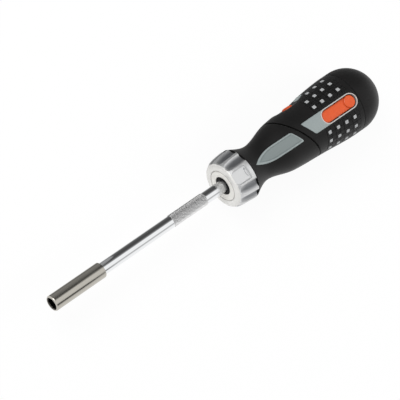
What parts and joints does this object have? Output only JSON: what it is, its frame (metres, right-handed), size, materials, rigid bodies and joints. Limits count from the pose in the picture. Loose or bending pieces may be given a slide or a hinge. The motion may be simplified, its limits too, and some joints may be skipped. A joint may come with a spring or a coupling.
{
  "type": "ratcheting screwdriver",
  "caption": "Bit screwdriver with a three-way ratchet collar, a handle that swivels on an oblique joint into a pistol grip, and a slide-out bit magazine in its domed end.",
  "frame": {"origin": "centre of the bit socket's mouth, on the shaft's axis", "axes": "+X along the shaft towards the handle's domed end, +Z out of the upper grey panel, +Y towards the lock button"},
  "size_m": [0.2493, 0.0388, 0.039],
  "materials": {
    "socket_nickel": "satin nickel",
    "magnet": "ground",
    "shaft_chrome": "polished",
    "hard_steel": "hardened",
    "bronze": "sintered",
    "plate_cream": "satin",
    "bush_black": "satin",
    "housing_zinc": "die cast",
    "collar_silver": "satin silver",
    "spring_steel": "bright",
    "core_black": "moulded",
    "rubber_black": "fine matt",
    "inlay_grey": "satin",
    "stud_grey": "satin",
    "button_orange": "semi-gloss",
    "bit_steel": "phosphated"
  },
  "bodies": {
    "handle_front": {"front_plate": "plate_cream", "shaft_bush": "bush_black", "ratchet_cover": "housing_zinc", "cover_screws": "hard_steel", "ratchet_housing": "housing_zinc", "rear_bush": "bronze", "housing_pins": "hard_steel", "detent_ball": "hard_steel", "detent_spring": "spring_steel", "pawl_pin_left": "hard_steel", "pawl_pin_right": "hard_steel", "pawl_spring_left": "spring_steel", "pawl_spring_right": "spring_steel", "front_core": "core_black", "front_grip": "rubber_black", "front_inlay_top": "inlay_grey", "front_inlay_bottom": "inlay_grey", "front_swivel_plate": "hard_steel", "plate_screws": "hard_steel", "spring_washer": "hard_steel"},
    "spindle": {"bit_socket": "socket_nickel", "socket_magnet": "magnet", "blade_shaft": "shaft_chrome", "ratchet_gear": "hard_steel", "thrust_washer": "bronze", "shaft_clip": "hard_steel"},
    "selector": {"selector_collar": "collar_silver"},
    "pawl_left": {"pawl_left": "hard_steel"},
    "pawl_right": {"pawl_right": "hard_steel"},
    "grip_rear": {"rear_swivel_plate": "hard_steel", "pivot_bolt": "hard_steel", "pivot_nut": "hard_steel", "lock_spring": "spring_steel", "button_ramp": "inlay_grey", "rear_core": "core_black", "rear_grip": "rubber_black", "grip_studs": "stud_grey", "panel_top": "inlay_grey", "panel_bottom": "inlay_grey", "lever_pin_top": "hard_steel", "lever_pin_bottom": "hard_steel", "lever_spring_top": "spring_steel", "lever_spring_bottom": "spring_steel"},
    "lock_pin": {"lock_pin": "hard_steel"},
    "lock_button": {"lock_button": "button_orange"},
    "release_lever_top": {"release_lever_top": "button_orange"},
    "release_lever_bottom": {"release_lever_bottom": "button_orange"},
    "magazine": {"bit_carrier": "core_black", "cap_core": "core_black", "cap_grip": "rubber_black", "cap_screw": "hard_steel", "bit_slot_small": "bit_steel", "bit_slot_large": "bit_steel", "bit_cross_small": "bit_steel", "bit_cross_large": "bit_steel", "bit_star_small": "bit_steel", "bit_star_large": "bit_steel"}
  },
  "joints": [
    {"name": "spindle_spin", "type": "hinge", "parent": "handle_front", "child": "spindle", "pos_m": [0.06, 0, 0], "axis": [1, 0, 0], "continuous": true},
    {"name": "selector_turn", "type": "hinge", "parent": "handle_front", "child": "selector", "pos_m": [0.1376, 0, 0], "axis": [1, 0, 0], "range_deg": [-20, 20]},
    {"name": "pawl_left_lift", "type": "hinge", "parent": "handle_front", "child": "pawl_left", "pos_m": [0.1376, -0.0066, 0.007], "axis": [1, 0, 0], "range_deg": [0, 5], "stiffness_Nm_per_rad": 0.0004, "springref_deg": -17.19, "deforming": ["pawl_spring_left"]},
    {"name": "pawl_right_lift", "type": "hinge", "parent": "handle_front", "child": "pawl_right", "pos_m": [0.1376, -0.0066, -0.007], "axis": [-1, 0, 0], "range_deg": [0, 5], "stiffness_Nm_per_rad": 0.0004, "springref_deg": -17.19, "deforming": ["pawl_spring_right"]},
    {"name": "handle_swivel", "type": "hinge", "parent": "handle_front", "child": "grip_rear", "pos_m": [0.1828, 0, 0], "axis": [0.866, 0.5, 0], "range_deg": [0, 180]},
    {"name": "lock_press", "type": "slide", "parent": "grip_rear", "child": "lock_button", "axis": [0, -1, 0], "range_m": [0, 0.0015], "stiffness_N_per_m": 20, "springref_m": -0.002, "deforming": ["lock_spring"]},
    {"name": "lock_pin_slide", "type": "slide", "parent": "grip_rear", "child": "lock_pin", "axis": [0.866, 0.5, 0], "range_m": [0, 0.0015]},
    {"name": "lever_top_press", "type": "hinge", "parent": "grip_rear", "child": "release_lever_top", "pos_m": [0.21021, 0, 0.01563], "axis": [0, 1, 0], "range_deg": [0, 3], "stiffness_Nm_per_rad": 0.0015, "springref_deg": -11.46, "deforming": ["lever_spring_top"]},
    {"name": "lever_bottom_press", "type": "hinge", "parent": "grip_rear", "child": "release_lever_bottom", "pos_m": [0.21021, 0, -0.01563], "axis": [0, -1, 0], "range_deg": [0, 3], "stiffness_Nm_per_rad": 0.0015, "springref_deg": -11.46, "deforming": ["lever_spring_bottom"]},
    {"name": "magazine_slide", "type": "slide", "parent": "grip_rear", "child": "magazine", "axis": [1, 0, 0], "range_m": [0, 0.025]}
  ],
  "couplings": [
    {"joint": "lock_pin_slide", "follows": "lock_press", "ratio": 1}
  ]
}
